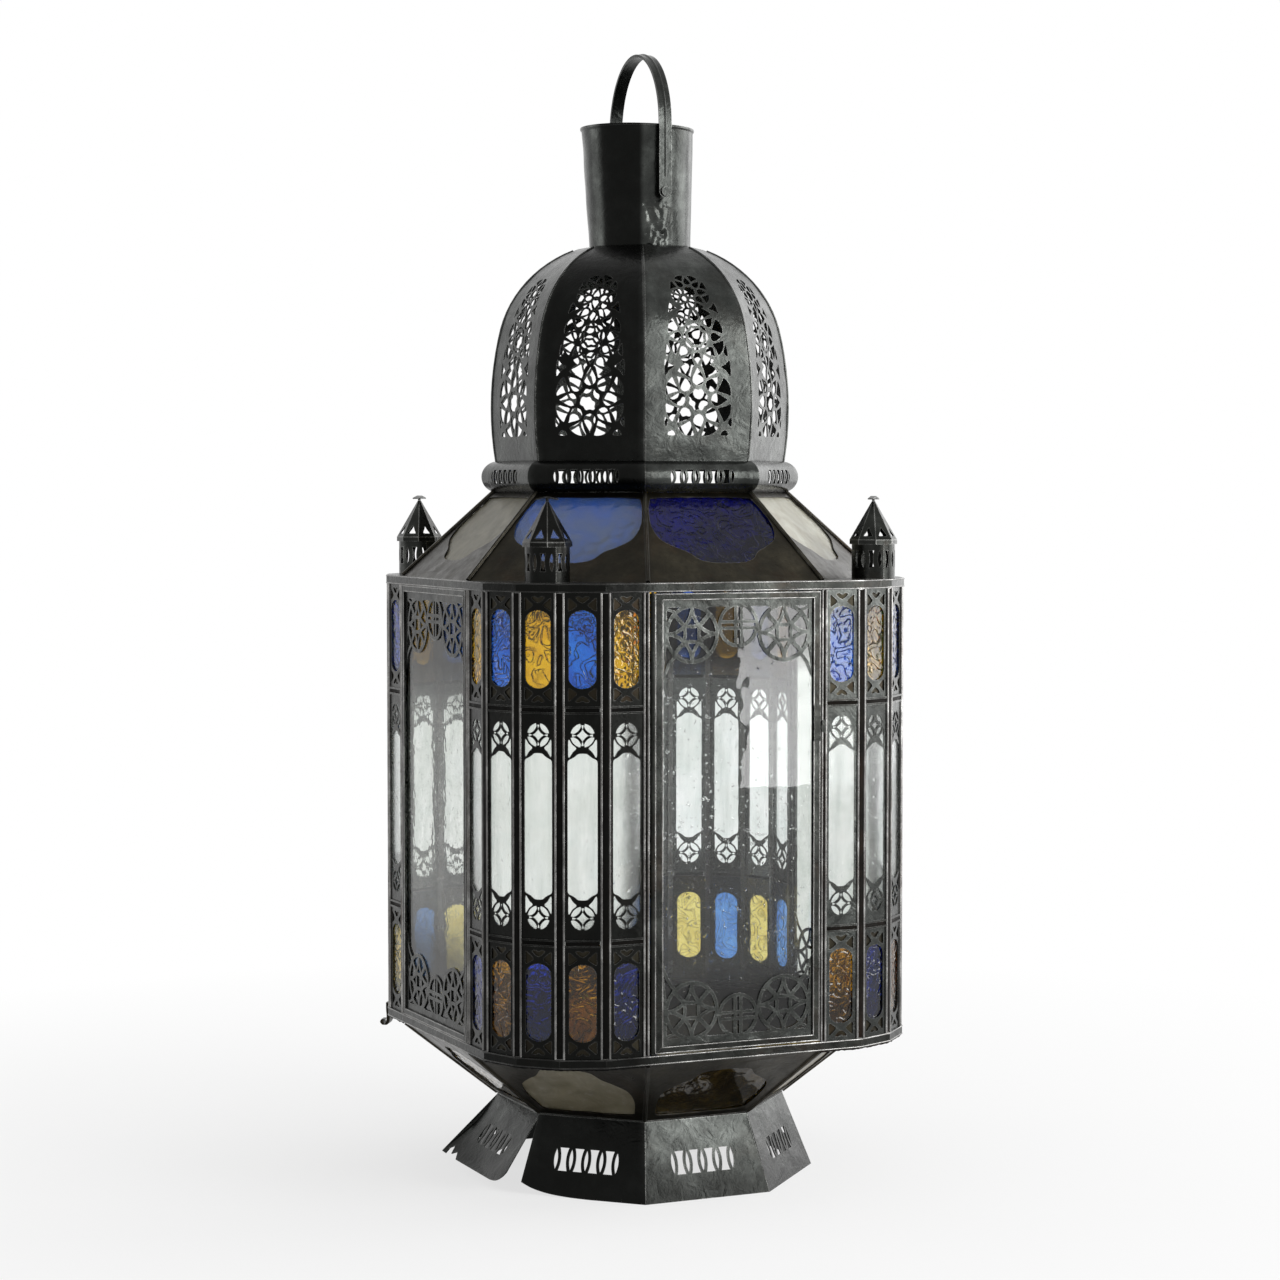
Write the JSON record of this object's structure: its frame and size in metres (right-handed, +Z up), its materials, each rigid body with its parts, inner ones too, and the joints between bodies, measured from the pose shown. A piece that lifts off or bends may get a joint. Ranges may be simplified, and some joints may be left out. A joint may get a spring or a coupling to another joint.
{
  "type": "candle lantern",
  "caption": "Octagonal candle lantern of pierced dark iron and coloured glass, with rounded glazed bays, small turrets, a ribbed dome, a hinged door and a swinging bail.",
  "frame": {"origin": "on the floor, at the centre of the foot", "axes": "+Z up along the lantern's axis, -Y out of the door, +X to the right of someone who faces the door"},
  "size_m": [0.3072, 0.3088, 0.773],
  "materials": {
    "dark_iron": "aged dark sheet iron, worn to grey along its edges",
    "clear_glass": "clear flat glass, dusty",
    "frosted_glass": "milky grey pressed glass",
    "amber_glass": "amber pressed glass",
    "blue_glass": "cobalt blue pressed glass",
    "tan_glass": "pale tan glass"
  },
  "bodies": {
    "lantern": {"foot_panels": "dark_iron", "floor_plate": "dark_iron", "drip_pan": "dark_iron", "candle_socket": "dark_iron", "funnel_panels": "dark_iron", "bottom_rail": "dark_iron", "top_rail": "dark_iron", "corner_posts": "dark_iron", "bay_bottom_plates": "dark_iron", "bay_top_plates": "dark_iron", "catch_rivet": "dark_iron", "roof_panels": "dark_iron", "ring_moulding": "dark_iron", "dome_gores": "dark_iron", "neck": "dark_iron", "bail_rivets": "dark_iron", "turret_drums": "dark_iron", "turret_spires": "dark_iron", "turret_finials": "dark_iron", "funnel_amber_panes": "amber_glass", "funnel_clear_panes": "clear_glass", "roof_blue_panes": "blue_glass", "roof_clear_panes": "tan_glass", "right_side_frame": "dark_iron", "right_side_fret": "dark_iron", "right_side_pane": "clear_glass", "back_side_frame": "dark_iron", "back_side_fret": "dark_iron", "back_side_pane": "clear_glass", "left_side_frame": "dark_iron", "left_side_fret": "dark_iron", "left_side_pane": "clear_glass", "bay_1_cames": "dark_iron", "bay_1_plates": "dark_iron", "bay_1_clear_panes": "frosted_glass", "bay_1_amber_panes": "amber_glass", "bay_1_blue_panes": "blue_glass", "bay_2_cames": "dark_iron", "bay_2_plates": "dark_iron", "bay_2_clear_panes": "frosted_glass", "bay_2_amber_panes": "amber_glass", "bay_2_blue_panes": "blue_glass", "bay_3_cames": "dark_iron", "bay_3_plates": "dark_iron", "bay_3_clear_panes": "frosted_glass", "bay_3_amber_panes": "amber_glass", "bay_3_blue_panes": "blue_glass", "bay_4_cames": "dark_iron", "bay_4_plates": "dark_iron", "bay_4_clear_panes": "frosted_glass", "bay_4_amber_panes": "amber_glass", "bay_4_blue_panes": "blue_glass"},
    "door": {"door_frame": "dark_iron", "door_fret": "dark_iron", "door_pane": "clear_glass", "door_hinge_rod": "dark_iron"},
    "catch": {"door_catch": "dark_iron"},
    "bail": {"bail": "dark_iron"}
  },
  "joints": [
    {"name": "bail_swing", "type": "hinge", "parent": "lantern", "child": "bail", "pos_m": [0, 0, 0.676], "axis": [0, 1, 0], "range_deg": [-118, 118]},
    {"name": "door_hinge", "type": "hinge", "parent": "lantern", "child": "door", "pos_m": [-0.05944, -0.15174, 0.258], "axis": [0, 0, -1], "range_deg": [0, 95]},
    {"name": "catch_turn", "type": "hinge", "parent": "lantern", "child": "catch", "pos_m": [0.06324, -0.15374, 0.3204], "axis": [0, 1, 0], "range_deg": [0, 90]}
  ]
}
